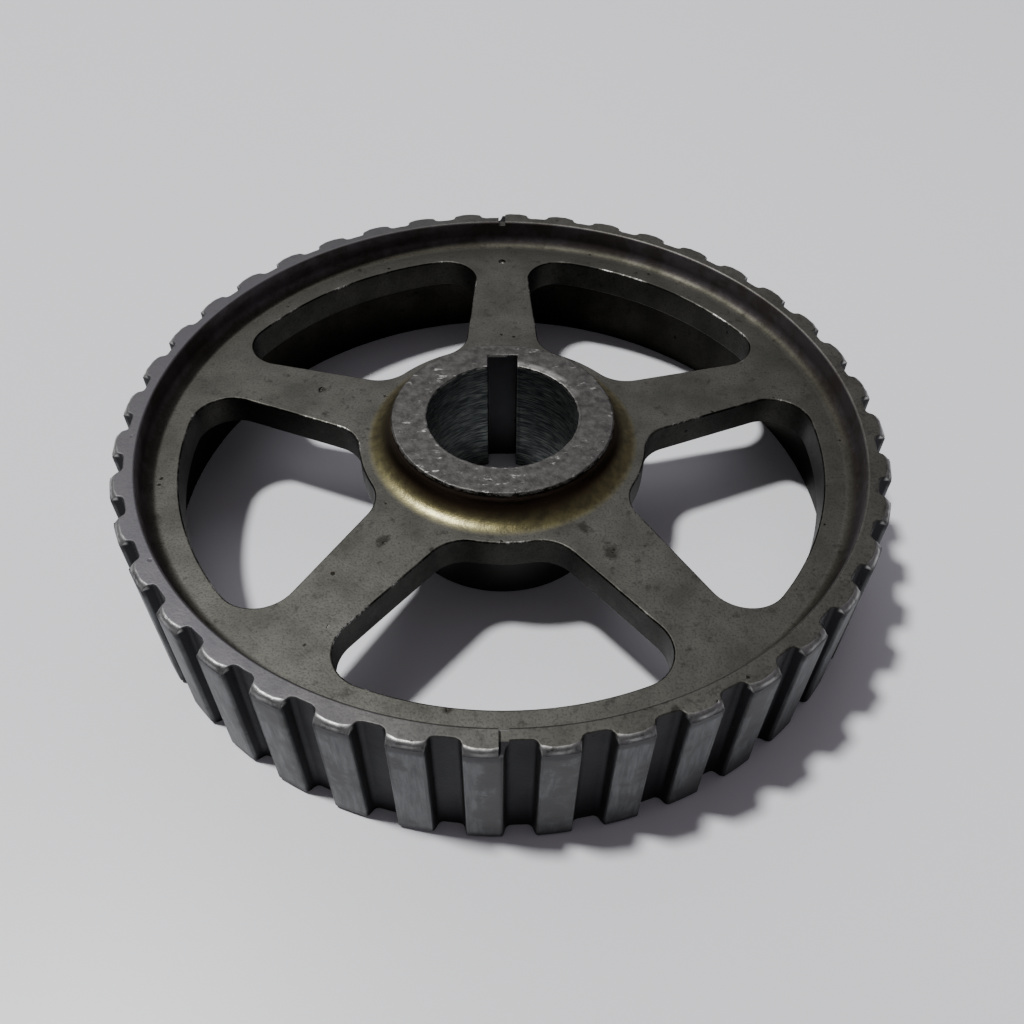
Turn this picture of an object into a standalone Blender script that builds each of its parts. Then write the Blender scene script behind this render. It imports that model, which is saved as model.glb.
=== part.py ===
"""Timing belt pulley: a toothed rim carried by a five-spoke web on a keyed hub.

The axis is Z, the rim and hub stand on z = 0, and the keyway, one spoke and both
timing slots lie in the plane x = 0. Every size below is in metres.
"""

import math

import bmesh
import bpy
from mathutils import Matrix, Vector

# Teeth, for a trapezoidal belt
TOOTH_COUNT = 40
BELT_PITCH = 0.009525
PITCH_LINE_ABOVE_TIP = 0.00038
TOOTH_DEPTH = 0.0019
GAP_ROOT_WIDTH = 0.0033
GAP_FLANK_ANGLE = math.radians(20)
GAP_ROOT_FILLET = 0.0007
TOOTH_END_CHAMFER = 0.0005
TOOTH_PHASE = math.radians(-2.4)  # from the keyway's centre line to the nearest tooth's centre

# Rim
RIM_WIDTH = 0.0233
RIM_WALL = 0.0019
RIM_EDGE_CHAMFER = 0.0004
RIM_UPPER_FILLET = 0.0020
RIM_UNDER_FILLET = 0.0012
SLOT_WIDTH = 0.0013
SLOT_DEPTH = 0.0008

# Web with its five windows
SPOKE_COUNT = 5
RECESS_DEPTH = 0.00475
WEB_THICKNESS = 0.0052
WINDOW_TO_RIM = 0.0032
WINDOW_TO_HUB = 0.0013
SPOKE_WIDTH_AT_HUB = 0.0131
SPOKE_WIDTH_AT_RIM = 0.0090
WINDOW_CORNER_RADIUS = 0.0060
DOT_DIAMETER = 0.0014
DOT_DEPTH = 0.0005
DOT_FROM_WINDOW_EDGE = 0.0012

# Hub
HUB_DIAMETER = 0.0358
HUB_HEIGHT = 0.0232
HUB_UPPER_FILLET = 0.0040
HUB_UNDER_FILLET = 0.0025
HUB_EDGE_CHAMFER = 0.0003
BORE_DIAMETER = 0.0245
BORE_CHAMFER = 0.0003
KEYWAY_WIDTH = 0.0050
KEYWAY_DEPTH = 0.0026

# Fits and finish of the model
PARTING_GAP = 0.0003
OVERCUT = 0.002
MERGE_DISTANCE = 0.000001
RIM_FACETS = 120
HUB_FACETS = 72
FILLET_FACETS = 5
CORNER_FACETS = 3
DOT_FACETS = 24
FEWEST_ARC_FACETS = 2
SHARP_EDGE_ANGLE = math.radians(30)

# Worked out from the sizes above
TIP_RADIUS = TOOTH_COUNT * BELT_PITCH / math.tau - PITCH_LINE_ABOVE_TIP
ROOT_RADIUS = TIP_RADIUS - TOOTH_DEPTH
RIM_INNER_RADIUS = ROOT_RADIUS - RIM_WALL
RIM_FOOT_RADIUS = RIM_INNER_RADIUS - RIM_UPPER_FILLET
WEB_TOP = RIM_WIDTH - RECESS_DEPTH
WEB_BOTTOM = WEB_TOP - WEB_THICKNESS
HUB_RADIUS = HUB_DIAMETER / 2
HUB_FOOT_RADIUS = HUB_RADIUS + HUB_UPPER_FILLET
BORE_RADIUS = BORE_DIAMETER / 2
WINDOW_OUTER_RADIUS = RIM_FOOT_RADIUS - WINDOW_TO_RIM
WINDOW_INNER_RADIUS = HUB_FOOT_RADIUS + WINDOW_TO_HUB


def start_scene():
    """Empty the scene and return the collections for the parts and the cutters."""
    for old in list(bpy.data.objects):
        bpy.data.objects.remove(old)
    collections = []
    for name in ("timing_belt_pulley", "cutters"):
        collection = bpy.data.collections.new(name)
        bpy.context.scene.collection.children.link(collection)
        collections.append(collection)
    return collections


def metal(name, colour, roughness, metallic):
    material = bpy.data.materials.new(name)
    material.use_nodes = True
    shader = material.node_tree.nodes["Principled BSDF"]
    shader.inputs["Base Color"].default_value = (*colour, 1)
    shader.inputs["Roughness"].default_value = roughness
    shader.inputs["Metallic"].default_value = metallic
    return material


def arc(centre, radius, start, end, facets):
    """Points along an arc, both ends included, at angles in radians."""
    points = []
    for step in range(facets + 1):
        angle = start + (end - start) * step / facets
        points.append((centre[0] + radius * math.cos(angle), centre[1] + radius * math.sin(angle)))
    return points


def turned(name, profile, facets, collection):
    """Turn a closed (radius, height) profile, listed down its outer side first, about Z."""
    mesh = bpy.data.meshes.new(name)
    body = bmesh.new()
    corners = [body.verts.new((radius, 0, height)) for radius, height in profile]
    for corner, following in zip(corners, corners[1:] + corners[:1]):
        body.edges.new((corner, following))
    body.to_mesh(mesh)
    body.free()
    part = bpy.data.objects.new(name, mesh)
    collection.objects.link(part)
    screw = part.modifiers.new("Turn", "SCREW")
    screw.steps = facets
    screw.render_steps = facets
    screw.use_merge_vertices = True
    screw.merge_threshold = MERGE_DISTANCE
    return part


def flat_solid(name, outlines, bottom, top, collection):
    """Extrude closed (x, y) outlines from bottom to top: an outline inside another is a hole."""
    curve = bpy.data.curves.new(name, "CURVE")
    curve.dimensions = "2D"
    curve.fill_mode = "BOTH"
    curve.extrude = (top - bottom) / 2
    for outline in outlines:
        spline = curve.splines.new("POLY")
        spline.points.add(len(outline) - 1)
        for point, (x, y) in zip(spline.points, outline):
            point.co = (x, y, 0, 1)
        spline.use_cyclic_u = True
    source = bpy.data.objects.new(name + "_outline", curve)
    source.location.z = (top + bottom) / 2
    collection.objects.link(source)
    depsgraph = bpy.context.evaluated_depsgraph_get()
    mesh = bpy.data.meshes.new_from_object(source.evaluated_get(depsgraph))
    mesh.name = name
    place = source.matrix_world.copy()
    bpy.data.objects.remove(source)
    body = bmesh.new()
    body.from_mesh(mesh)
    bmesh.ops.remove_doubles(body, verts=body.verts, dist=MERGE_DISTANCE)
    body.to_mesh(mesh)
    body.free()
    part = bpy.data.objects.new(name, mesh)
    part.matrix_world = place
    collection.objects.link(part)
    return part


def cut(part, cutter):
    cutter.hide_render = True
    cutter.display_type = "WIRE"
    boolean = part.modifiers.new(cutter.name, "BOOLEAN")
    boolean.operation = "DIFFERENCE"
    boolean.object = cutter


def finish(part, material):
    part.data.materials.clear()
    part.data.materials.append(material)
    part.data.shade_smooth()
    part.data.set_sharp_from_angle(angle=SHARP_EDGE_ANGLE)


def block(name, size, centre, collection):
    mesh = bpy.data.meshes.new(name)
    body = bmesh.new()
    bmesh.ops.create_cube(body, size=1, matrix=Matrix.LocRotScale(Vector(centre), None, Vector(size)))
    body.to_mesh(mesh)
    body.free()
    part = bpy.data.objects.new(name, mesh)
    collection.objects.link(part)
    return part


def gap_outline(centre_angle):
    """Outline of one belt-tooth gap: a flat root with filleted corners and straight flanks."""
    half_root = GAP_ROOT_WIDTH / 2
    mouth_radius = TIP_RADIUS + OVERCUT
    half_mouth = half_root + (mouth_radius - ROOT_RADIUS) * math.tan(GAP_FLANK_ANGLE)
    fillet_turn = math.pi / 2 - GAP_FLANK_ANGLE
    fillet_side = half_root - GAP_ROOT_FILLET * math.tan(fillet_turn / 2)
    fillet_centre = (ROOT_RADIUS + GAP_ROOT_FILLET, fillet_side)
    upper = [(mouth_radius, half_mouth)]
    upper += arc(fillet_centre, GAP_ROOT_FILLET, math.pi - fillet_turn, math.pi, CORNER_FACETS)
    outline = upper + [(along, -across) for along, across in reversed(upper)]
    turn = Matrix.Rotation(centre_angle, 2)
    return [tuple(turn @ Vector(point)) for point in outline]


def toothed_rim(collection, cutters):
    """The rim: a turned ring, recessed on both sides of the web, with the teeth cut into it."""
    upper_fillet = arc(
        (RIM_FOOT_RADIUS, WEB_TOP + RIM_UPPER_FILLET), RIM_UPPER_FILLET, -math.pi / 2, 0, FILLET_FACETS
    )
    under_wall_radius = RIM_FOOT_RADIUS + RIM_UNDER_FILLET
    under_fillet = arc(
        (RIM_FOOT_RADIUS, WEB_BOTTOM - RIM_UNDER_FILLET), RIM_UNDER_FILLET, 0, math.pi / 2, FILLET_FACETS
    )
    profile = [
        (TIP_RADIUS - TOOTH_END_CHAMFER, RIM_WIDTH),
        (TIP_RADIUS, RIM_WIDTH - TOOTH_END_CHAMFER),
        (TIP_RADIUS, TOOTH_END_CHAMFER),
        (TIP_RADIUS - TOOTH_END_CHAMFER, 0),
        (under_wall_radius + RIM_EDGE_CHAMFER, 0),
        (under_wall_radius, RIM_EDGE_CHAMFER),
        *under_fillet,
        *upper_fillet,
        (RIM_INNER_RADIUS, RIM_WIDTH - RIM_EDGE_CHAMFER),
        (RIM_INNER_RADIUS + RIM_EDGE_CHAMFER, RIM_WIDTH),
    ]
    rim = turned("toothed_rim", profile, RIM_FACETS, collection)

    first_gap = math.pi / 2 + TOOTH_PHASE + math.pi / TOOTH_COUNT
    gaps = [gap_outline(first_gap + math.tau * tooth / TOOTH_COUNT) for tooth in range(TOOTH_COUNT)]
    cut(rim, flat_solid("tooth_gaps", gaps, -OVERCUT, RIM_WIDTH + OVERCUT, cutters))

    slot_length = 2 * (TIP_RADIUS + OVERCUT)
    slot_height = SLOT_DEPTH + OVERCUT
    slot_centre = (0, 0, RIM_WIDTH - SLOT_DEPTH + slot_height / 2)
    cut(rim, block("timing_slots", (SLOT_WIDTH, slot_length, slot_height), slot_centre, cutters))
    finish(rim, metal("rim_sintered_steel", (0.20, 0.20, 0.195), 0.42, 0.9))
    return rim


def window_corner(circle_radius, side_sign, inward):
    """Centre of the fillet between a spoke's straight side and one of the window's two arcs.

    The spoke lies along +X here. side_sign picks its upper or lower side, and inward is +1
    at the hub's arc, where the fillet lies outside that circle, and -1 at the rim's arc.
    """
    run = WINDOW_OUTER_RADIUS - WINDOW_INNER_RADIUS
    taper = math.atan2((SPOKE_WIDTH_AT_HUB - SPOKE_WIDTH_AT_RIM) / 2, run)
    # The side's normal points into the window, and offset is the side's distance from the axis along it.
    normal = Vector((math.sin(taper), math.cos(taper)))
    on_side = Vector((WINDOW_INNER_RADIUS, SPOKE_WIDTH_AT_HUB / 2))
    offset = normal.dot(on_side) + WINDOW_CORNER_RADIUS
    reach = circle_radius + inward * WINDOW_CORNER_RADIUS
    along = math.sqrt(reach**2 - offset**2)
    direction = Vector((math.cos(taper), -math.sin(taper)))
    centre = normal * offset + direction * along
    touch_side = centre - normal * WINDOW_CORNER_RADIUS
    if side_sign < 0:
        centre.y = -centre.y
        touch_side.y = -touch_side.y
    return centre, touch_side


def corner_arc(centre, start_point, end_point):
    """The short arc of a window corner from one tangent point to the other."""
    start = math.atan2(start_point.y - centre.y, start_point.x - centre.x)
    end = math.atan2(end_point.y - centre.y, end_point.x - centre.x)
    turn = (end - start + math.pi) % math.tau - math.pi
    return arc(centre, WINDOW_CORNER_RADIUS, start, start + turn, FILLET_FACETS)


def window_outline(first_spoke_angle):
    """Outline of the window between the spoke at this angle and the next one round."""
    spoke_step = math.tau / SPOKE_COUNT
    near = Matrix.Rotation(first_spoke_angle, 2)
    far = Matrix.Rotation(first_spoke_angle + spoke_step, 2)
    corners = {}
    for place, turn, side_sign in (("near", near, 1), ("far", far, -1)):
        for arc_name, radius, inward in (
            ("hub", WINDOW_INNER_RADIUS, 1),
            ("rim", WINDOW_OUTER_RADIUS, -1),
        ):
            centre, touch_side = window_corner(radius, side_sign, inward)
            centre = turn @ centre
            corners[place, arc_name] = (centre, turn @ touch_side, centre.normalized() * radius)

    def edge_arc(radius, start_point, end_point):
        start = math.atan2(start_point.y, start_point.x)
        turn = (math.atan2(end_point.y, end_point.x) - start + math.pi) % math.tau - math.pi
        facets = max(FEWEST_ARC_FACETS, round(abs(turn) / math.tau * RIM_FACETS))
        return arc((0, 0), radius, start, start + turn, facets)[1:-1]

    outline = []
    centre, side, rim_touch = corners["near", "rim"]
    outline += corner_arc(centre, side, rim_touch)
    outline += edge_arc(WINDOW_OUTER_RADIUS, rim_touch, corners["far", "rim"][2])
    centre, side, rim_touch = corners["far", "rim"]
    outline += corner_arc(centre, rim_touch, side)
    centre, side, hub_touch = corners["far", "hub"]
    outline += corner_arc(centre, side, hub_touch)
    outline += edge_arc(WINDOW_INNER_RADIUS, hub_touch, corners["near", "hub"][2])
    centre, side, hub_touch = corners["near", "hub"]
    outline += corner_arc(centre, hub_touch, side)
    return outline


def spoke_web(collection, cutters):
    """The web: a flat disc with five windows, which leave five tapered spokes."""
    outlines = []
    for radius, facets in (
        (RIM_FOOT_RADIUS - PARTING_GAP, RIM_FACETS),
        (HUB_FOOT_RADIUS + PARTING_GAP, HUB_FACETS),
    ):
        outlines.append(arc((0, 0), radius, 0, math.tau, facets)[:-1])
    for spoke in range(SPOKE_COUNT):
        outlines.append(window_outline(math.pi / 2 + math.tau * spoke / SPOKE_COUNT))
    web = flat_solid("spoke_web", outlines, WEB_BOTTOM, WEB_TOP, collection)

    mesh = bpy.data.meshes.new("timing_dot")
    body = bmesh.new()
    bmesh.ops.create_cone(
        body,
        cap_ends=True,
        segments=DOT_FACETS,
        radius1=0,
        radius2=DOT_DIAMETER,
        depth=DOT_DEPTH * 2,
        matrix=Matrix.Translation((0, WINDOW_OUTER_RADIUS - DOT_FROM_WINDOW_EDGE, WEB_TOP)),
    )
    body.to_mesh(mesh)
    body.free()
    dot = bpy.data.objects.new("timing_dot", mesh)
    cutters.objects.link(dot)
    cut(web, dot)
    finish(web, metal("web_sintered_steel", (0.21, 0.205, 0.185), 0.5, 0.85))
    return web


def keyed_hub(collection, cutters):
    """The hub: a boss on both sides of the web, with a plain bore and one keyway."""
    upper_fillet = arc(
        (HUB_FOOT_RADIUS, WEB_TOP + HUB_UPPER_FILLET), HUB_UPPER_FILLET, math.pi, math.pi * 1.5, FILLET_FACETS
    )
    under_fillet = arc(
        (HUB_RADIUS + HUB_UNDER_FILLET, WEB_BOTTOM - HUB_UNDER_FILLET),
        HUB_UNDER_FILLET,
        math.pi / 2,
        math.pi,
        FILLET_FACETS,
    )
    profile = [
        (HUB_RADIUS - HUB_EDGE_CHAMFER, HUB_HEIGHT),
        (HUB_RADIUS, HUB_HEIGHT - HUB_EDGE_CHAMFER),
        *upper_fillet,
        (HUB_FOOT_RADIUS, WEB_BOTTOM),
        *under_fillet,
        (HUB_RADIUS, HUB_EDGE_CHAMFER),
        (HUB_RADIUS - HUB_EDGE_CHAMFER, 0),
        (BORE_RADIUS + BORE_CHAMFER, 0),
        (BORE_RADIUS, BORE_CHAMFER),
        (BORE_RADIUS, HUB_HEIGHT - BORE_CHAMFER),
        (BORE_RADIUS + BORE_CHAMFER, HUB_HEIGHT),
    ]
    hub = turned("keyed_hub", profile, HUB_FACETS, collection)
    key_size = (KEYWAY_WIDTH, BORE_RADIUS + KEYWAY_DEPTH, HUB_HEIGHT + 2 * OVERCUT)
    cut(hub, block("keyway", key_size, (0, key_size[1] / 2, HUB_HEIGHT / 2), cutters))
    finish(hub, metal("hub_machined_steel", (0.25, 0.25, 0.25), 0.35, 0.95))
    return hub


def main():
    parts, cutters = start_scene()
    toothed_rim(parts, cutters)
    spoke_web(parts, cutters)
    keyed_hub(parts, cutters)


main()
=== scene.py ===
"""A used timing belt pulley, lying on a pale table with its shallow side up.

The real pulley is one piece of sintered iron. Its three pieces here are the toothed rim, the
web with five spokes and the keyed hub, which meet where no joint shows. Sizes are in millimetres
times MM, Z is the pulley's axis, and the keyway points along +Y.
"""

import math

import bmesh
import bpy
from mathutils import Matrix, Vector, geometry, noise


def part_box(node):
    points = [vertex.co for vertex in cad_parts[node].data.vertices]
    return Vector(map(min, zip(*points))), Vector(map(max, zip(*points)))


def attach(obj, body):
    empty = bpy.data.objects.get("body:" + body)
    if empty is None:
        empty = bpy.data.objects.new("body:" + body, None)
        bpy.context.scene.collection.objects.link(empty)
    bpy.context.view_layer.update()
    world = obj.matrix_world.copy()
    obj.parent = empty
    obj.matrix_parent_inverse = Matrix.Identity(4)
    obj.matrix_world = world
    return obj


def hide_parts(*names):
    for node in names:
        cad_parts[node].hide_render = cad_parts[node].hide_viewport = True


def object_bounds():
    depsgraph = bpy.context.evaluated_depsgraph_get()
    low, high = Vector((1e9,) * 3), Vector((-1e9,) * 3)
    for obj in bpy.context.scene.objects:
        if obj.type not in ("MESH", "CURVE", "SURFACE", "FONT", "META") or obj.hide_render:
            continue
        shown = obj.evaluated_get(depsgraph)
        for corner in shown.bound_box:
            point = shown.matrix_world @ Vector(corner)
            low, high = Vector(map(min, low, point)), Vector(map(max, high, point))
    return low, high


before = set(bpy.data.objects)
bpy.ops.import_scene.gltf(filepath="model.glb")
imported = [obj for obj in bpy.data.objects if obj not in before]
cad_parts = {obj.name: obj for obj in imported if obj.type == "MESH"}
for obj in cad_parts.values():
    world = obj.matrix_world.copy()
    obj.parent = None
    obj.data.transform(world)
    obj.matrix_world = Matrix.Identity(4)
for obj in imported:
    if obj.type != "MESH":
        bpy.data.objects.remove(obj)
cad_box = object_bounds()
MM = 0.001

# ---------------------------------------------------------------------------------------------
# Camera: a phone held over the near side of the pulley, 175 mm from its middle. It stands a
# little to the left of the keyway's line, and its lens is shifted a little upwards.
camera_distance = 175.04 * MM
camera_elevation = math.radians(48.98)
camera_turn = math.radians(-1.2)
camera_roll = math.radians(0.92)
camera_aim = Vector((1.8, 0, -7.4)) * MM

lens = bpy.data.cameras.new("phone_camera")
lens.sensor_width = 36
lens.lens = 33.63
lens.shift_y = 0.0273
lens.clip_start = 10 * MM
camera = bpy.data.objects.new("phone_camera", lens)
bpy.context.scene.collection.objects.link(camera)
bpy.context.scene.camera = camera
camera.matrix_world = (
    Matrix.Rotation(camera_turn, 4, "Z")
    @ Matrix.Translation(camera_aim)
    @ Matrix.Rotation(math.pi / 2 - camera_elevation, 4, "X")
    @ Matrix.Rotation(camera_roll, 4, "Z")
    @ Matrix.Translation((0, 0, camera_distance))
)

# ---------------------------------------------------------------------------------------------
# Toothed rim: a sintered iron ring with 40 trapezoidal belt teeth, pressed to shape with the
# rest of the pulley. The belt has burnished the tooth crowns and left the gaps black, and each
# timing mark is a narrow slot across the rim's top face, in line with the keyway.
tooth_count = 40
tooth_pitch = math.tau / tooth_count

# The keyway's line is at 90 degrees, and the nearest tooth's middle is 2.4 degrees before it.
first_tooth = math.radians(90 - 2.4)
rim_bottom, rim_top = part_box("toothed_rim")
web_bottom, web_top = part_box("spoke_web")
tip_radius = rim_top.x
root_radius = tip_radius - 1.9 * MM
gap_root_width = 3.3 * MM
flank_angle = math.radians(20)
root_fillet = 0.9 * MM
end_rounding = 0.85 * MM
rim_wall = 1.9 * MM
rim_edge = 0.4 * MM
upper_foot_fillet = 2.0 * MM
under_foot_fillet = 1.2 * MM
seam_strip = 0.15 * MM
slot_width = 1.3 * MM
slot_depth = 0.8 * MM
broken_edge = 0.22 * MM
corner_wear = 1.1 * MM
corner_wear_start = 0.45
rim_inner_radius = root_radius - rim_wall
rim_foot_radius = rim_inner_radius - upper_foot_fillet
rim_seam_radius = rim_foot_radius - seam_strip
SAME_PLACE = 0.0005 * MM

# Stains on the top face: the distance from the axis and the size in millimetres, with the angle
# in degrees between them.
rim_stains = ((59.6, 317, 1.3), (58.8, 309, 1.0), (58.2, 291, 0.8))


def line_to(mesh, point, place):
    """Draw a straight edge from a point to a place, and return the point there."""
    drawn = bmesh.ops.extrude_vert_indiv(mesh, verts=[point])["verts"][0]
    drawn.co = place
    return drawn


def arc_to(mesh, point, place, centre, steps):
    """Draw the short arc about a centre from a point to a place, and return the point there."""
    start = point.co - Vector(centre)
    end = Vector(place) - Vector(centre)
    swept = bmesh.ops.spin(
        mesh, geom=[point], cent=centre, axis=start.cross(end), angle=start.angle(end), steps=steps
    )
    drawn = swept["geom_last"][0]
    drawn.co = place
    return drawn


def polar(radius, angle, height=0):
    return Vector((radius * math.cos(angle), radius * math.sin(angle), height))


def close_face(mesh, height, *gaps):
    """Close the outline that lies at a height into one flat face, after joining its open ends."""
    for ends in gaps:
        bmesh.ops.contextual_create(mesh, geom=list(ends))
    outline = [
        edge for edge in mesh.edges if all(abs(vert.co.z - height) < SAME_PLACE for vert in edge.verts)
    ]
    bmesh.ops.contextual_create(mesh, geom=outline)


def weld(mesh):
    bmesh.ops.remove_doubles(mesh, verts=mesh.verts, dist=SAME_PLACE)
    bmesh.ops.recalc_face_normals(mesh, faces=mesh.faces)


def middle_radius(edge):
    return ((edge.verts[0].co + edge.verts[1].co) / 2).xy.length


def round_edges(mesh, edges, width, steps):
    bmesh.ops.bevel(
        mesh,
        geom=list(edges),
        affect="EDGES",
        offset=width,
        segments=steps,
        profile=0.5,
        material=-1,
        clamp_overlap=True,
    )


def sharp_edges(mesh):
    """Edges where two faces meet at more than a soft bend."""
    limit = math.radians(35)
    return [
        edge for edge in mesh.edges if len(edge.link_faces) == 2 and edge.calc_face_angle() > limit
    ]


def finish_piece(name, mesh, finish, node):
    """Make the piece from its mesh, let it ride on the pulley, and hide the plain node."""
    for face in mesh.faces:
        face.smooth = True
    for edge in sharp_edges(mesh):
        edge.smooth = False
    data = bpy.data.meshes.new(name)
    mesh.to_mesh(data)
    mesh.free()
    piece = bpy.data.objects.new(name, data)
    bpy.context.scene.collection.objects.link(piece)
    piece.data.materials.append(finish)
    piece.modifiers.new("Even shading", "WEIGHTED_NORMAL").keep_sharp = True
    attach(piece, "root")
    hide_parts(node)


def carve(mesh, tool):
    """Cut the tool's shape out of the mesh, as a cutter or a punch does."""
    blank = bpy.data.objects.new("blank", bpy.data.meshes.new("blank"))
    cutter = bpy.data.objects.new("cutter", bpy.data.meshes.new("cutter"))
    mesh.to_mesh(blank.data)
    tool.to_mesh(cutter.data)
    tool.free()
    for part in (blank, cutter):
        bpy.context.scene.collection.objects.link(part)
    cut = blank.modifiers.new("cut", "BOOLEAN")
    cut.operation = "DIFFERENCE"
    cut.solver = "EXACT"
    cut.object = cutter
    cut_blank = blank.evaluated_get(bpy.context.evaluated_depsgraph_get())
    mesh.clear()
    mesh.from_mesh(cut_blank.to_mesh())
    for part in (blank, cutter):
        bpy.data.objects.remove(part)


def wear_in(verts, patch, depth):
    """Move points in towards the axis, by a share of the depth that wanders from patch to patch."""
    for vert in verts:
        share = 0.5 + noise.noise(vert.co / patch) / 2
        vert.co.xy = vert.co.xy * (1 - share * depth / vert.co.xy.length)


# Half a tooth, from the middle of its crown along +X to the middle of the gap after it.
rim = bmesh.new()
gap_turn = Matrix.Rotation(tooth_pitch / 2, 3, "Z")
half_root = gap_root_width / 2
far = 2 * (tip_radius - root_radius)
flank_far_end = Vector((root_radius + far, -half_root - far * math.tan(flank_angle)))
flank_near_end = Vector((root_radius, -half_root))
axis_point = Vector((0, 0))
crossings = geometry.intersect_line_sphere_2d(flank_near_end, flank_far_end, axis_point, tip_radius)
crown_corner = next(place for place in crossings if place is not None)
fillet_turn = math.pi / 2 - flank_angle
fillet_reach = root_fillet * math.tan(fillet_turn / 2)
fillet_centre = Vector((root_radius + root_fillet, fillet_reach - half_root, 0))
flank_normal = Vector((-math.sin(flank_angle), -math.cos(flank_angle), 0))

pen = rim.verts.new((tip_radius, 0, 0))
pen = arc_to(rim, pen, gap_turn @ crown_corner.to_3d(), (0, 0, 0), 5)
pen = line_to(rim, pen, gap_turn @ (fillet_centre + flank_normal * root_fillet))
fillet_end = gap_turn @ (fillet_centre - Vector((root_fillet, 0, 0)))
pen = arc_to(rim, pen, fillet_end, gap_turn @ fillet_centre, 5)
line_to(rim, pen, gap_turn @ Vector((root_radius, 0, 0)))
bmesh.ops.translate(rim, verts=rim.verts, vec=(0, 0, rim_bottom.z))
raised = bmesh.ops.extrude_edge_only(rim, edges=rim.edges)["geom"]
raised = [item for item in raised if isinstance(item, bmesh.types.BMVert)]
bmesh.ops.translate(rim, verts=raised, vec=(0, 0, rim_top.z - rim_bottom.z))

# The ring's inner side: the recess wall above the web, the seam, and the wall below it.
under_radius = rim_foot_radius + under_foot_fillet
under_fillet_height = web_bottom.z - under_foot_fillet
seen_before = set(rim.verts)
pen = rim.verts.new((rim_inner_radius + rim_edge, 0, rim_top.z))
for place, centre, steps in (
    ((rim_inner_radius, rim_top.z - rim_edge), (rim_inner_radius + rim_edge, rim_top.z - rim_edge), 4),
    ((rim_inner_radius, web_top.z + upper_foot_fillet), None, 1),
    ((rim_foot_radius, web_top.z), (rim_foot_radius, web_top.z + upper_foot_fillet), 10),
    ((rim_seam_radius, web_top.z), None, 1),
    ((rim_seam_radius, web_bottom.z), None, 1),
    ((rim_foot_radius, web_bottom.z), None, 1),
    ((under_radius, under_fillet_height), (rim_foot_radius, under_fillet_height), 6),
    ((under_radius, rim_bottom.z + rim_edge), None, 1),
    ((under_radius + rim_edge, rim_bottom.z), (under_radius + rim_edge, rim_bottom.z + rim_edge), 4),
):
    target = Vector((place[0], 0, place[1]))
    if centre:
        pen = arc_to(rim, pen, target, (centre[0], 0, centre[1]), steps)
    else:
        pen = line_to(rim, pen, target)
inner_side = [vert for vert in rim.verts if vert not in seen_before]
inner_side += [edge for edge in rim.edges if all(vert not in seen_before for vert in edge.verts)]
bmesh.ops.spin(rim, geom=inner_side, cent=(0, 0, 0), axis=(0, 0, 1), angle=tooth_pitch / 2, steps=5)


def nearest(mesh, place):
    return min(mesh.verts, key=lambda vert: (vert.co - Vector(place)).length)


for height, edge_radius in (
    (rim_top.z, rim_inner_radius + rim_edge),
    (rim_bottom.z, under_radius + rim_edge),
):
    close_face(
        rim,
        height,
        (nearest(rim, polar(edge_radius, 0, height)), nearest(rim, polar(tip_radius, 0, height))),
        (
            nearest(rim, polar(edge_radius, tooth_pitch / 2, height)),
            nearest(rim, polar(root_radius, tooth_pitch / 2, height)),
        ),
    )
everything = rim.verts[:] + rim.edges[:] + rim.faces[:]
bmesh.ops.mirror(rim, geom=everything, matrix=Matrix(), merge_dist=SAME_PLACE, axis="Y")
bmesh.ops.rotate(rim, verts=rim.verts, cent=(0, 0, 0), matrix=Matrix.Rotation(first_tooth, 3, "Z"))
bmesh.ops.spin(
    rim,
    geom=rim.verts[:] + rim.edges[:] + rim.faces[:],
    cent=(0, 0, 0),
    axis=(0, 0, 1),
    angle=tooth_pitch * (tooth_count - 1),
    steps=tooth_count - 1,
    use_duplicate=True,
)
weld(rim)
crown_ends = [
    edge
    for edge in sharp_edges(rim)
    if abs(edge.verts[0].co.z - edge.verts[1].co.z) < SAME_PLACE
    and all(vert.co.xy.length > tip_radius - SAME_PLACE for vert in edge.verts)
]
round_edges(rim, crown_ends, end_rounding, 6)
beyond_inner_edge = rim_inner_radius + rim_edge + SAME_PLACE
outer_edges = [edge for edge in sharp_edges(rim) if middle_radius(edge) > beyond_inner_edge]
round_edges(rim, outer_edges, broken_edge, 3)

# Use has worn the corners of the teeth's upper ends, and knocks have dented them.
half_crown_angle = tooth_pitch / 2 - math.atan2(-crown_corner.y, crown_corner.x)
tooth_tops = [
    vert
    for vert in rim.verts
    if vert.co.z > rim_top.z - end_rounding and vert.co.xy.length > root_radius - 0.3 * MM
]
for vert in tooth_tops:
    from_first = math.atan2(vert.co.y, vert.co.x) - first_tooth
    from_tooth = (from_first + tooth_pitch / 2) % tooth_pitch - tooth_pitch / 2
    to_corner = max(0, abs(from_tooth) / half_crown_angle - corner_wear_start)
    to_top = 1 - (rim_top.z - vert.co.z) / end_rounding
    outside_root = max(0, vert.co.xy.length - root_radius) / (tip_radius - root_radius)
    vert.co.xy = vert.co.xy * (1 - corner_wear * to_corner * to_top * outside_root / tip_radius)
for patch, depth in ((0.7, 0.16), (2.5, 0.12)):
    wear_in(tooth_tops, patch * MM, depth * MM)

# One cut straight across the rim makes both timing slots.
slots = bmesh.new()
slot_size = Vector((slot_width, 3 * tip_radius, 2 * slot_depth))
slot_matrix = Matrix.LocRotScale(Vector((0, 0, rim_top.z)), None, slot_size)
bmesh.ops.create_cube(slots, size=1, matrix=slot_matrix)
carve(rim, slots)


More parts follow.
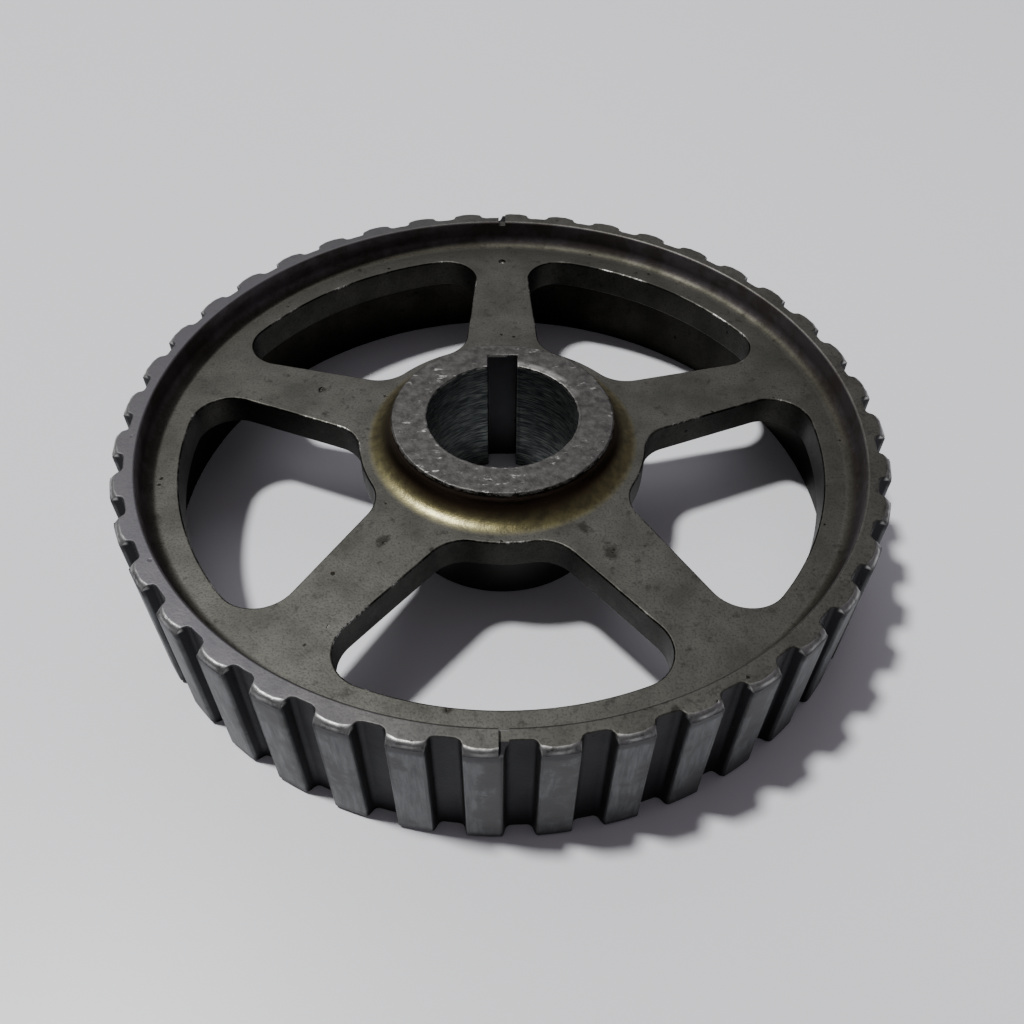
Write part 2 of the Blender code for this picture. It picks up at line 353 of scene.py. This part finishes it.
def add_node(tree, kind, settings=None, inputs=None):
    """Add a shader node, and set its own settings and set or link its inputs."""
    node = tree.nodes.new("ShaderNode" + kind)
    for name, value in (settings or {}).items():
        setattr(node, name, value)
    for name, value in (inputs or {}).items():
        if isinstance(value, bpy.types.NodeSocket):
            tree.links.new(value, node.inputs[name])
        else:
            node.inputs[name].default_value = value
    return node


def srgb(code):
    """A colour written as sRGB hex, turned to the linear values that shaders use."""
    channels = [int(code[place : place + 2], 16) / 255 for place in (0, 2, 4)]
    return [c / 12.92 if c <= 0.04045 else ((c + 0.055) / 1.055) ** 2.4 for c in channels] + [1]


def new_finish(name):
    finish = bpy.data.materials.new(name)
    finish.use_nodes = True
    return finish, finish.node_tree, finish.node_tree.nodes["Principled BSDF"]


def zone(tree, *limits, easing="SMOOTHSTEP"):
    """Where every limit holds, as a share from 0 to 1.

    A limit is a value with the points where it starts and where it is full, or a share made before.
    """
    product = 1
    for limit in limits:
        if isinstance(limit, tuple):
            value, start, full = limit
            reach = {"Value": value, "From Min": start, "From Max": full}
            limit = add_node(tree, "MapRange", {"interpolation_type": easing}, reach).outputs[0]
        product = add_node(tree, "Math", {"operation": "MULTIPLY"}, {0: product, 1: limit}).outputs[0]
    return product


def painted(tree, colour, *coats):
    """Lay coats over a colour: each has its colour, how it is laid and the limits that it keeps to."""
    for coat, how, *limits in coats:
        under, over = (srgb(paint) if isinstance(paint, str) else paint for paint in (colour, coat))
        layers = {0: zone(tree, *limits), 6: under, 7: over}
        colour = add_node(tree, "Mix", {"data_type": "RGBA", "blend_type": how}, layers).outputs[2]
    return colour


def patterns(tree, place, *sizes):
    """Soft ragged patterns: each has its patches' size in millimetres along X, Y and Z, and a detail."""
    raggedness = 0.62
    made = []
    for patch, detail in sizes:
        stretch = {"Vector": place, "Scale": [1 / length for length in patch]}
        stretched = add_node(tree, "Mapping", inputs=stretch).outputs[0]
        ragged = {"Vector": stretched, "Scale": 1, "Detail": detail, "Roughness": raggedness}
        made.append(add_node(tree, "TexNoise", inputs=ragged).outputs[0])
    return made


def iron_skin(tree):
    """The sintered iron's own surface, the same all over the pulley, as sockets to build on.

    Places are in millimetres. Pressed and sintered powder leaves a fine grain and open pores,
    oil has dried on its flat faces in olive patches, and its upright walls are painted darker as
    painted shade.
    """
    texture_place = add_node(tree, "TexCoord")
    scaling = {0: texture_place.outputs["Object"], "Scale": 1 / MM}
    place = add_node(tree, "VectorMath", {"operation": "SCALE"}, scaling).outputs[0]
    flat = add_node(tree, "VectorMath", {"operation": "MULTIPLY"}, {0: place, 1: (1, 1, 0)}).outputs[0]
    radius = add_node(tree, "VectorMath", {"operation": "LENGTH"}, {0: flat}).outputs["Value"]
    height = add_node(tree, "SeparateXYZ", inputs={0: place}).outputs["Z"]
    facing = add_node(tree, "SeparateXYZ", inputs={0: texture_place.outputs["Normal"]}).outputs["Z"]
    wall = zone(tree, (facing, 0.75, 0.2))

    # Oil patches, darker blotches and the pressed powder's grain, which is drawn coarse enough to show.
    patches, blotches, grain = patterns(
        tree, place, ((7, 7, 7), 6), ((1.6, 1.6, 1.6), 4), ((0.35, 0.35, 0.35), 3)
    )
    film = painted(
        tree,
        "4a4a45",
        ("5e5d57", "MIX", zone(tree, (patches, 0.36, 0.66), easing="LINEAR")),
        ("403f3b", "MIX", zone(tree, (blotches, 0.42, 0.28), easing="LINEAR")),
        ("34332f", "MIX", zone(tree, (grain, 0.5, 0.36), easing="LINEAR"), 0.5),
    )

    # Open pores: up to a third of the cells hold one, of any size up to the widest.
    pore_spacing = 2.2
    cell_share = 0.34
    widest_pore = 0.2
    cell_shape = {"Vector": place, "Scale": 1 / pore_spacing, "Randomness": 1}
    cells = add_node(tree, "TexVoronoi", inputs=cell_shape)
    chosen = add_node(tree, "SeparateXYZ", inputs={0: cells.outputs["Color"]}).outputs["X"]
    pore_sizes = {"Value": chosen, "From Min": 1 - cell_share, "To Max": widest_pore}
    pore_radius = add_node(tree, "MapRange", inputs=pore_sizes).outputs[0]
    ragged = {0: grain, 1: widest_pore, 2: cells.outputs["Distance"]}
    ragged = add_node(tree, "Math", {"operation": "MULTIPLY_ADD"}, ragged).outputs[0]
    inside = add_node(tree, "Math", {"operation": "SUBTRACT"}, {0: pore_radius, 1: ragged}).outputs[0]
    pores = zone(tree, (inside, -0.1, 0))
    # Upright walls are multiplied darker here: painted shade.
    film = painted(tree, film, ("26241f", "MIX", pores), ("a0a0a2", "MULTIPLY", wall))

    # The grain and the blotches stand up, and the pores are pits.
    relief = add_node(tree, "Math", {"operation": "MULTIPLY_ADD"}, {0: blotches, 1: 0.8, 2: grain}).outputs[0]
    relief = add_node(tree, "Math", {"operation": "MULTIPLY_ADD"}, {0: pores, 1: -2, 2: relief}).outputs[0]
    satin_range = {"Value": patches, "From Min": 0.3, "From Max": 0.7, "To Min": 0.58, "To Max": 0.48}
    satin = add_node(tree, "MapRange", inputs=satin_range).outputs[0]
    return {
        "place": place, "radius": radius, "height": height, "facing": facing, "wall": wall,
        "grain": grain, "blotches": blotches, "patches": patches, "film": film, "relief": relief,
        "satin": satin,
    }


def metal_finish(name, build):
    """A finish on the pulley's iron: build(tree, skin) returns its colour, roughness and relief."""
    relief_depth = 0.05 * MM
    finish, tree, shader = new_finish(name)
    shader.inputs["Metallic"].default_value = 1
    colour, roughness, relief = build(tree, iron_skin(tree))
    tree.links.new(colour, shader.inputs["Base Color"])
    tree.links.new(roughness, shader.inputs["Roughness"])
    bump = add_node(tree, "Bump", inputs={"Strength": 0.5, "Distance": relief_depth, "Height": relief})
    tree.links.new(bump.outputs["Normal"], shader.inputs["Normal"])
    return finish


def stained(tree, skin, colour, stains, height):
    """Dark ragged stains on a flat face: each has a distance from the axis, an angle and a size."""
    for radius, angle, spread in stains:
        from_middle = {0: skin["place"], 1: polar(radius, math.radians(angle), height)}
        away = add_node(tree, "VectorMath", {"operation": "DISTANCE"}, from_middle).outputs["Value"]
        ragged = {0: skin["blotches"], 1: 3 * spread, 2: away}
        ragged = add_node(tree, "Math", {"operation": "MULTIPLY_ADD"}, ragged).outputs[0]
        colour = painted(tree, colour, ("2b2925", "MIX", (ragged, 2.8 * spread, 1.9 * spread), 0.75))
    return colour


def belt_worn(tree, skin):
    """Sintered iron that a belt runs on.

    Its crowns are burnished and streaked along their length, and stay dark past the belt's
    edges. The gaps are black with rubber dust, and the worn teeth's ends are painted bright as a painted
    highlight.
    """
    radius, height, patches = skin["radius"], skin["height"], skin["patches"]
    tip, root, inner, foot = (
        size / MM for size in (tip_radius, root_radius, rim_inner_radius, rim_foot_radius)
    )
    top, bottom, web_face = (place.z / MM for place in (rim_top, rim_bottom, web_top))
    wander_width = 1.6
    wander = {0: skin["blotches"], 1: wander_width, 2: -wander_width / 2}
    wander = add_node(tree, "Math", {"operation": "MULTIPLY_ADD"}, wander).outputs[0]
    ragged_height = add_node(tree, "Math", {"operation": "ADD"}, {0: height, 1: wander}).outputs[0]
    across = add_node(tree, "SeparateXYZ", inputs={0: skin["place"]}).outputs["X"]

    crown = zone(tree, (radius, tip - 0.65, tip - 0.25))
    belt_edges = ((ragged_height, top - 1.4, top - 2.4), (ragged_height, bottom + 0.9, bottom + 1.9))
    streaks = patterns(tree, skin["place"], ((0.6, 0.6, 5), 4))[0]
    burnished = painted(
        tree,
        "494a4b",
        ("686a6b", "MIX", zone(tree, (streaks, 0.3, 0.72), easing="LINEAR")),
        ("505050", "MIX", (patches, 0.52, 0.4)),
    )
    rubber_dust = painted(tree, "29292b", ("434345", "MIX", crown))
    # The recess wall gets a purple-grey tone that stands for the shade in the recess: painted shade.
    recess_shade_tone = painted(tree, "57524f", ("6a6569", "MIX", (patches, 0.4, 0.6)))
    recess = (radius, inner + 0.17, inner + 0.1)
    # Worn tooth ends, painted brighter on their rounding: partly edge wear, partly a painted highlight.
    tooth_end_wear_and_highlight = zone(
        tree,
        (radius, tip - 1.35, tip - 0.85),
        (height, top - 0.95, top - 0.55),
        (skin["facing"], 0.995, 0.97),
        (skin["blotches"], 0.2, 0.6),
    )

    # The top face is painted lighter and bluer towards -X, the lamp's side: a painted sheen. It is stained on
    # the other side.
    lamp_side_sheen = ((height, top - 0.3, top - 0.1), (across, 10, -45), 0.6)
    colour = painted(tree, skin["film"], ("66646a", "MIX", *lamp_side_sheen))
    colour = stained(tree, skin, colour, rim_stains, top)
    outside = ((radius, root - 0.45, root - 0.25), (height, top - 0.05, top - 0.4))
    recess_wall = (recess, (height, web_face + 0.15, web_face + 1.15))
    # The recess's foot fillet is multiplied darker: painted shade that dims its highlight.
    foot_fillet = (
        recess,
        (radius, foot - 0.05, foot + 0.75),
        (ragged_height, web_face + 1.65, web_face + 0.45),
    )
    colour = painted(
        tree,
        colour,
        (rubber_dust, "MIX", *outside),
        (burnished, "MIX", crown, *belt_edges),
        ("999997", "MIX", tooth_end_wear_and_highlight),
        (recess_shade_tone, "MIX", *recess_wall),
        ("c0beb6", "MULTIPLY", *foot_fillet),
    )
    polish = {0: tooth_end_wear_and_highlight, 1: -0.15, 2: skin["satin"]}
    satin = add_node(tree, "Math", {"operation": "MULTIPLY_ADD"}, polish).outputs[0]
    return colour, satin, skin["relief"]


rim_finish = metal_finish("belt_burnished_sintered_iron", belt_worn)
finish_piece("toothed_rim_surface", rim, rim_finish, "toothed_rim")

# ---------------------------------------------------------------------------------------------
# Web: a flat disc in one piece with rim and hub, with five windows pressed through it, which
# leave five tapered spokes. Old oil has dried on it to an olive film.
spoke_count = 5
spoke_step = math.tau / spoke_count
hub_foot_fillet = 4.0 * MM
hub_radius = 17.9 * MM
hub_foot_radius = hub_radius + hub_foot_fillet
hub_seam_radius = hub_foot_radius + seam_strip
window_outer_radius = rim_foot_radius - 3.2 * MM
window_inner_radius = hub_foot_radius + 1.3 * MM
spoke_width_at_hub = 13.1 * MM
spoke_width_at_rim = 9.0 * MM
window_corner = 6.0 * MM
dot_radius = 0.7 * MM
dot_from_window_edge = 1.2 * MM
window_edge = 0.3 * MM

# Stains and chips on the top face, with the same three values as the rim's stains.
web_stains = (
    (28.8, 232, 0.9), (29.6, 302, 1.3), (26.6, 247, 0.5),
    (51.6, 262, 0.7), (23.2, 301, 0.9), (32.8, 160, 0.7),
)
chips = (
    (32.8, 160, 0.7), (28.9, 233, 0.35), (29.5, 303, 0.4),
    (51.6, 262, 0.35), (41.5, 168, 0.3), (45.0, 238, 0.3),
)

# One tenth of the web, from the middle of a spoke along +X to the middle of the window after it.
web = bmesh.new()
half_step = spoke_step / 2
window_depth = window_outer_radius - window_inner_radius
spoke_taper = math.atan2((spoke_width_at_hub - spoke_width_at_rim) / 2, window_depth)
side_normal = Vector((math.sin(spoke_taper), math.cos(spoke_taper), 0))
side_along = Vector((math.cos(spoke_taper), -math.sin(spoke_taper), 0))
side_offset = side_normal.dot(Vector((window_inner_radius, spoke_width_at_hub / 2, 0))) + window_corner


def corner_centre(reach):
    """Centre of a window corner's arc, at this distance from the axis."""
    return side_normal * side_offset + side_along * math.sqrt(reach**2 - side_offset**2)


hub_corner = corner_centre(window_inner_radius + window_corner)
rim_corner = corner_centre(window_outer_radius - window_corner)
pen = first = web.verts.new((hub_seam_radius, 0, 0))
pen = arc_to(web, pen, polar(hub_seam_radius, half_step), (0, 0, 0), 36)
pen = line_to(web, pen, polar(window_inner_radius, half_step))
pen = arc_to(web, pen, hub_corner.normalized() * window_inner_radius, (0, 0, 0), 10)
pen = arc_to(web, pen, hub_corner - side_normal * window_corner, hub_corner, 14)
pen = line_to(web, pen, rim_corner - side_normal * window_corner)
pen = arc_to(web, pen, rim_corner.normalized() * window_outer_radius, rim_corner, 18)
pen = arc_to(web, pen, polar(window_outer_radius, half_step), (0, 0, 0), 18)
pen = line_to(web, pen, polar(rim_seam_radius, half_step))
pen = arc_to(web, pen, polar(rim_seam_radius, 0), (0, 0, 0), 36)
bmesh.ops.contextual_create(web, geom=[pen, first])
bmesh.ops.contextual_create(web, geom=web.edges[:])
bmesh.ops.translate(web, verts=web.verts, vec=(0, 0, web_top.z))
lowered = bmesh.ops.extrude_face_region(web, geom=web.faces[:], use_keep_orig=True)["geom"]
lowered = [item for item in lowered if isinstance(item, bmesh.types.BMVert)]
bmesh.ops.translate(web, verts=lowered, vec=(0, 0, web_bottom.z - web_top.z))
window_middle = Vector((-math.sin(half_step), math.cos(half_step), 0))
cut_faces = [
    face
    for face in web.faces
    if all(abs(vert.co.y) < SAME_PLACE for vert in face.verts)
    or all(abs(vert.co.dot(window_middle)) < SAME_PLACE for vert in face.verts)
]
bmesh.ops.delete(web, geom=cut_faces, context="FACES_ONLY")
bmesh.ops.mirror(
    web, geom=web.verts[:] + web.edges[:] + web.faces[:], matrix=Matrix(), merge_dist=SAME_PLACE, axis="Y"
)
bmesh.ops.rotate(web, verts=web.verts, cent=(0, 0, 0), matrix=Matrix.Rotation(math.pi / 2, 3, "Z"))
bmesh.ops.spin(
    web,
    geom=web.verts[:] + web.edges[:] + web.faces[:],
    cent=(0, 0, 0),
    axis=(0, 0, 1),
    angle=spoke_step * (spoke_count - 1),
    steps=spoke_count - 1,
    use_duplicate=True,
)
weld(web)
window_edges = [
    edge
    for edge in sharp_edges(web)
    if window_inner_radius - SAME_PLACE < edge.verts[0].co.xy.length < window_outer_radius + SAME_PLACE
]
round_edges(web, window_edges, window_edge, 3)


def oil_filmed(tree, skin):
    """Flat sintered iron under dried oil, stained where it was knocked, its window edges worn in places."""
    patches = skin["patches"]
    edge = zone(tree, (skin["facing"], 0.98, 0.9), (skin["facing"], 0.1, 0.3))
    colour = stained(tree, skin, skin["film"], web_stains, web_top.z / MM)
    colour = painted(
        tree,
        colour,
        ("5c5c5a", "MULTIPLY", edge, (patches, 0.58, 0.45)),
        ("b9b9b5", "MIX", edge, (patches, 0.56, 0.62), (skin["grain"], 0.42, 0.56)),
    )
    return colour, skin["satin"], skin["relief"]


# The timing dot is punched into the keyway's spoke, and knocks have chipped the web's top face.
# A chip is a shallow dented hollow, longer than it is wide, and each lies at a turn of its own.
chip_shape = Vector((1, 0.6, 0.35))
dent_size = 0.5
dent_depth = 0.8
knocks = bmesh.new()
dot_place = Vector((0, window_outer_radius - dot_from_window_edge, web_top.z))
bmesh.ops.create_icosphere(knocks, subdivisions=3, radius=dot_radius, matrix=Matrix.Translation(dot_place))
for radius, angle, size in chips:
    place = polar(radius * MM, math.radians(angle), web_top.z)
    lie = Matrix.Rotation(radius, 3, "Z").to_quaternion()
    chip_matrix = Matrix.LocRotScale(place, lie, chip_shape * size * MM)
    chip = bmesh.ops.create_icosphere(knocks, subdivisions=3, radius=1, matrix=chip_matrix)
    for vert in chip["verts"]:
        dent = noise.noise(vert.co / (dent_size * size * MM))
        vert.co += (vert.co - place) * dent * dent_depth
carve(web, knocks)
web_finish = metal_finish("oil_filmed_sintered_iron", oil_filmed)
finish_piece("spoke_web_surface", web, web_finish, "spoke_web")

# ---------------------------------------------------------------------------------------------
# Keyed hub: a boss on both sides of the web, faced, bored and broached after sintering. A
# clamping bolt has galled its end face and nicked that face's rim.
hub_bottom, hub_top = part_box("keyed_hub")
bore_radius = 12.25 * MM
keyway_width = 5.0 * MM
keyway_depth = 2.6 * MM
hub_edge = 0.35 * MM
hub_under_fillet = 2.5 * MM
bore_edge = 0.25 * MM
bore_worn_band = 0.6 * MM

# Half the hub, from the side away from the keyway round +X to the middle of the keyway.
hub = bmesh.new()
near_side = -math.pi / 2
boss_fillet_height = web_bottom.z - hub_under_fillet
pen = hub.verts.new(polar(hub_radius - hub_edge, near_side, hub_top.z))
for place, centre, steps in (
    ((hub_radius, hub_top.z - hub_edge), (hub_radius - hub_edge, hub_top.z - hub_edge), 4),
    ((hub_radius, web_top.z + hub_foot_fillet), None, 1),
    ((hub_foot_radius, web_top.z), (hub_foot_radius, web_top.z + hub_foot_fillet), 14),
    ((hub_seam_radius, web_top.z), None, 1),
    ((hub_seam_radius, web_bottom.z), None, 1),
    ((hub_radius + hub_under_fillet, web_bottom.z), None, 1),
    ((hub_radius, boss_fillet_height), (hub_radius + hub_under_fillet, boss_fillet_height), 8),
    ((hub_radius, hub_bottom.z + hub_edge), None, 1),
    ((hub_radius - hub_edge, hub_bottom.z), (hub_radius - hub_edge, hub_bottom.z + hub_edge), 4),
):
    target = polar(place[0], near_side, place[1])
    if centre:
        pen = arc_to(hub, pen, target, polar(centre[0], near_side, centre[1]), steps)
    else:
        pen = line_to(hub, pen, target)
bmesh.ops.spin(
    hub, geom=hub.verts[:] + hub.edges[:], cent=(0, 0, 0), axis=(0, 0, 1), angle=math.pi, steps=150
)

# The bore and the keyway, drawn the same way round at the bottom and raised to the top.
outside = set(hub.verts)
half_key = keyway_width / 2
key_mouth = math.sqrt(bore_radius**2 - half_key**2)
pen = hub.verts.new(polar(bore_radius, near_side, hub_bottom.z))
pen = arc_to(hub, pen, polar(bore_radius, 0, hub_bottom.z), (0, 0, hub_bottom.z), 40)
pen = arc_to(hub, pen, (half_key, key_mouth, hub_bottom.z), (0, 0, hub_bottom.z), 34)
pen = line_to(hub, pen, (half_key, bore_radius + keyway_depth, hub_bottom.z))
pen = line_to(hub, pen, (0, bore_radius + keyway_depth, hub_bottom.z))
bore_outline = [edge for edge in hub.edges if all(vert not in outside for vert in edge.verts)]
raised = bmesh.ops.extrude_edge_only(hub, edges=bore_outline)["geom"]
raised = [item for item in raised if isinstance(item, bmesh.types.BMVert)]
bmesh.ops.translate(hub, verts=raised, vec=(0, 0, hub_top.z - hub_bottom.z))
for height in (hub_top.z, hub_bottom.z):
    close_face(
        hub,
        height,
        (
            nearest(hub, polar(hub_radius - hub_edge, near_side, height)),
            nearest(hub, polar(bore_radius, near_side, height)),
        ),
        (
            nearest(hub, (0, hub_radius - hub_edge, height)),
            nearest(hub, (0, bore_radius + keyway_depth, height)),
        ),
    )
bmesh.ops.mirror(
    hub, geom=hub.verts[:] + hub.edges[:] + hub.faces[:], matrix=Matrix(), merge_dist=SAME_PLACE, axis="X"
)
weld(hub)

# The bore's edges are broken, and knocks have nicked the rims of the upper end face.
bore_edges = [edge for edge in sharp_edges(hub) if middle_radius(edge) < hub_radius - 2 * hub_edge]
round_edges(hub, bore_edges, bore_edge, 2)
rim_of_face = [
    vert
    for vert in hub.verts
    if vert.co.z > hub_top.z - 2 * hub_edge
    and (
        vert.co.xy.length > hub_radius - 2 * hub_edge
        or bore_radius < vert.co.xy.length < bore_radius + bore_worn_band
    )
]
for patch, depth in ((0.7, 0.26), (2, 0.14)):
    wear_in(rim_of_face, patch * MM, depth * MM)


def galled_and_bored(tree, skin):
    """Sintered iron that was faced, bored and broached.

    The bolt's washer has galled the end face to coarse grain and short bright scratches, and
    the bore keeps its turning lines. Only the foot, where no hand reaches, keeps straw-coloured oil.
    """
    radius, height, blotches = skin["radius"], skin["height"], skin["blotches"]
    boss, foot_end, bore, keyway_end = (
        size / MM for size in (hub_radius, hub_foot_radius, bore_radius, bore_radius + keyway_depth)
    )
    top, web_face, web_back = (place.z / MM for place in (hub_top, web_top, web_bottom))
    across = add_node(tree, "SeparateXYZ", inputs={0: skin["place"]})
    gall, scratches, turning_lines = patterns(
        tree, skin["place"], ((1.3, 1.3, 1.3), 6), ((2.286, 0.8, 0.8), 4), ((2.75, 2.75, 0.22), 2)
    )

    end_face = zone(tree, (height, top - 0.25, top - 0.1))
    galled = painted(
        tree,
        "454442",
        ("62615e", "MIX", zone(tree, (gall, 0.36, 0.66), easing="LINEAR")),
        ("b8b7b2", "MIX", (scratches, 0.58, 0.66), (skin["patches"], 0.46, 0.56)),
    )
    foot = zone(
        tree,
        (radius, boss - 0.02, boss + 0.1),
        (radius, foot_end + 0.2, foot_end - 1.3),
        (height, web_face - 0.15, web_face - 0.05),
    )
    # Straw-coloured oil at the foot, turning dark brown up the fillet: the oil is real, the dark brown
    # further up is painted shade.
    straw = painted(
        tree,
        "5c5841",
        ("75704f", "MIX", zone(tree, (blotches, 0.35, 0.6), easing="LINEAR")),
        ("4c3f32", "MIX", (height, web_face + 0.35, web_face + 2.25)),
    )
    # The hub's upright wall above the foot is painted dark brown: painted shade.
    hub_wall_shade_tone = ((radius, boss - 0.2, boss - 0.1), (height, web_face + 1.95, web_face + 2.95))
    in_bore = zone(tree, (radius, bore + 0.35, bore + 0.15))
    bored = painted(
        tree, "35393b", ("7c7f7c", "MIX", zone(tree, (turning_lines, 0.42, 0.7), easing="LINEAR"))
    )
    # The keyway's walls are painted dark grey: painted shade in the slot.
    keyway_walls = (
        (radius, bore + 0.05, bore + 0.15),
        (radius, keyway_end + 0.45, keyway_end + 0.35),
        (skin["wall"], 0.5, 0.9),
    )
    lip = ((height, top - 0.6, top - 0.4), (skin["wall"], 0, 0.1), (blotches, 0.42, 0.55))
    # The end face beside the bore is painted bright at the back right: a painted highlight.
    bore_rim_highlight = (
        (radius, bore + 1.45, bore + 0.45),
        (blotches, 0.3, 0.6),
        (across.outputs["Y"], 3, 8),
        (across.outputs["X"], 0, 3),
    )
    colour = painted(
        tree,
        skin["film"],
        (straw, "MIX", foot),
        ("5d5046", "MIX", *hub_wall_shade_tone),
        # The boss under the web is painted dark grey: painted shade.
        ("3c3c3a", "MIX", (height, web_back + 0.05, web_back - 0.15)),
        (bored, "MIX", in_bore),
        ("3a3a3c", "MIX", *keyway_walls),
        (galled, "MIX", end_face),
        ("a09f9a", "MIX", *lip),
        ("9b9a95", "MIX", end_face, *bore_rim_highlight),
    )

    relief = skin["relief"]
    for share, depth in ((zone(tree, end_face, gall), 4), (zone(tree, in_bore, turning_lines), 1.5)):
        deeper = {0: share, 1: depth, 2: relief}
        relief = add_node(tree, "Math", {"operation": "MULTIPLY_ADD"}, deeper).outputs[0]
    oily = {0: foot, 1: -0.2, 2: skin["satin"]}
    satin = add_node(tree, "Math", {"operation": "MULTIPLY_ADD"}, oily).outputs[0]
    return colour, satin, relief


hub_finish = metal_finish("machined_sintered_iron", galled_and_bored)
finish_piece("keyed_hub_surface", hub, hub_finish, "keyed_hub")

# ---------------------------------------------------------------------------------------------
# Table and light: a table top of white laminate, whose satin face keeps a broad faint sheen, under a
# lamp the size of a small window and a weak one behind the pulley.
table_size = 4000 * MM
hair_gap = 0.02 * MM
table = bmesh.new()
bmesh.ops.create_grid(table, x_segments=1, y_segments=1, size=table_size)
table_data = bpy.data.meshes.new("table_top")
table.to_mesh(table_data)
table.free()
table_top = bpy.data.objects.new("table_top", table_data)
bpy.context.scene.collection.objects.link(table_top)
table_top.location.z = cad_box[0].z - hair_gap
laminate, _, shader = new_finish("white_laminate")
shader.inputs["Base Color"].default_value = srgb("e6e7ea")
shader.inputs["Roughness"].default_value = 0.4
table_data.materials.append(laminate)


def soft_light(name, azimuth, elevation, distance, size, power, colour):
    """A round lamp aimed at the pulley: angles in degrees, lengths in metres, power in watts."""
    light = bpy.data.lights.new(name, "AREA")
    light.shape = "DISK"
    light.size = size
    light.energy = power
    light.color = srgb(colour)[:3]
    lamp = bpy.data.objects.new(name, light)
    bpy.context.scene.collection.objects.link(lamp)
    lamp.matrix_world = (
        Matrix.Rotation(math.radians(azimuth), 4, "Z")
        @ Matrix.Rotation(math.radians(90 - elevation), 4, "Y")
        @ Matrix.Translation((0, 0, distance))
    )


soft_light("window_light", 167, 68, 3, 0.32, 104, "ffffff")
soft_light("back_fill", 90, 50, 1.5, 1.0, 2, "f4f6ff")

world = bpy.data.worlds.new("dim_room")
bpy.context.scene.world = world
world.use_nodes = True
backdrop = world.node_tree.nodes["Background"]
direction = add_node(world.node_tree, "TexCoord").outputs["Generated"]
depth = add_node(world.node_tree, "SeparateXYZ", inputs={0: direction}).outputs["Y"]
away = zone(world.node_tree, (depth, -1, 1), easing="LINEAR")
room_colour = painted(world.node_tree, "8a848c", ("cec8d0", "MIX", away))
world.node_tree.links.new(room_colour, backdrop.inputs["Color"])
backdrop.inputs["Strength"].default_value = 0.45
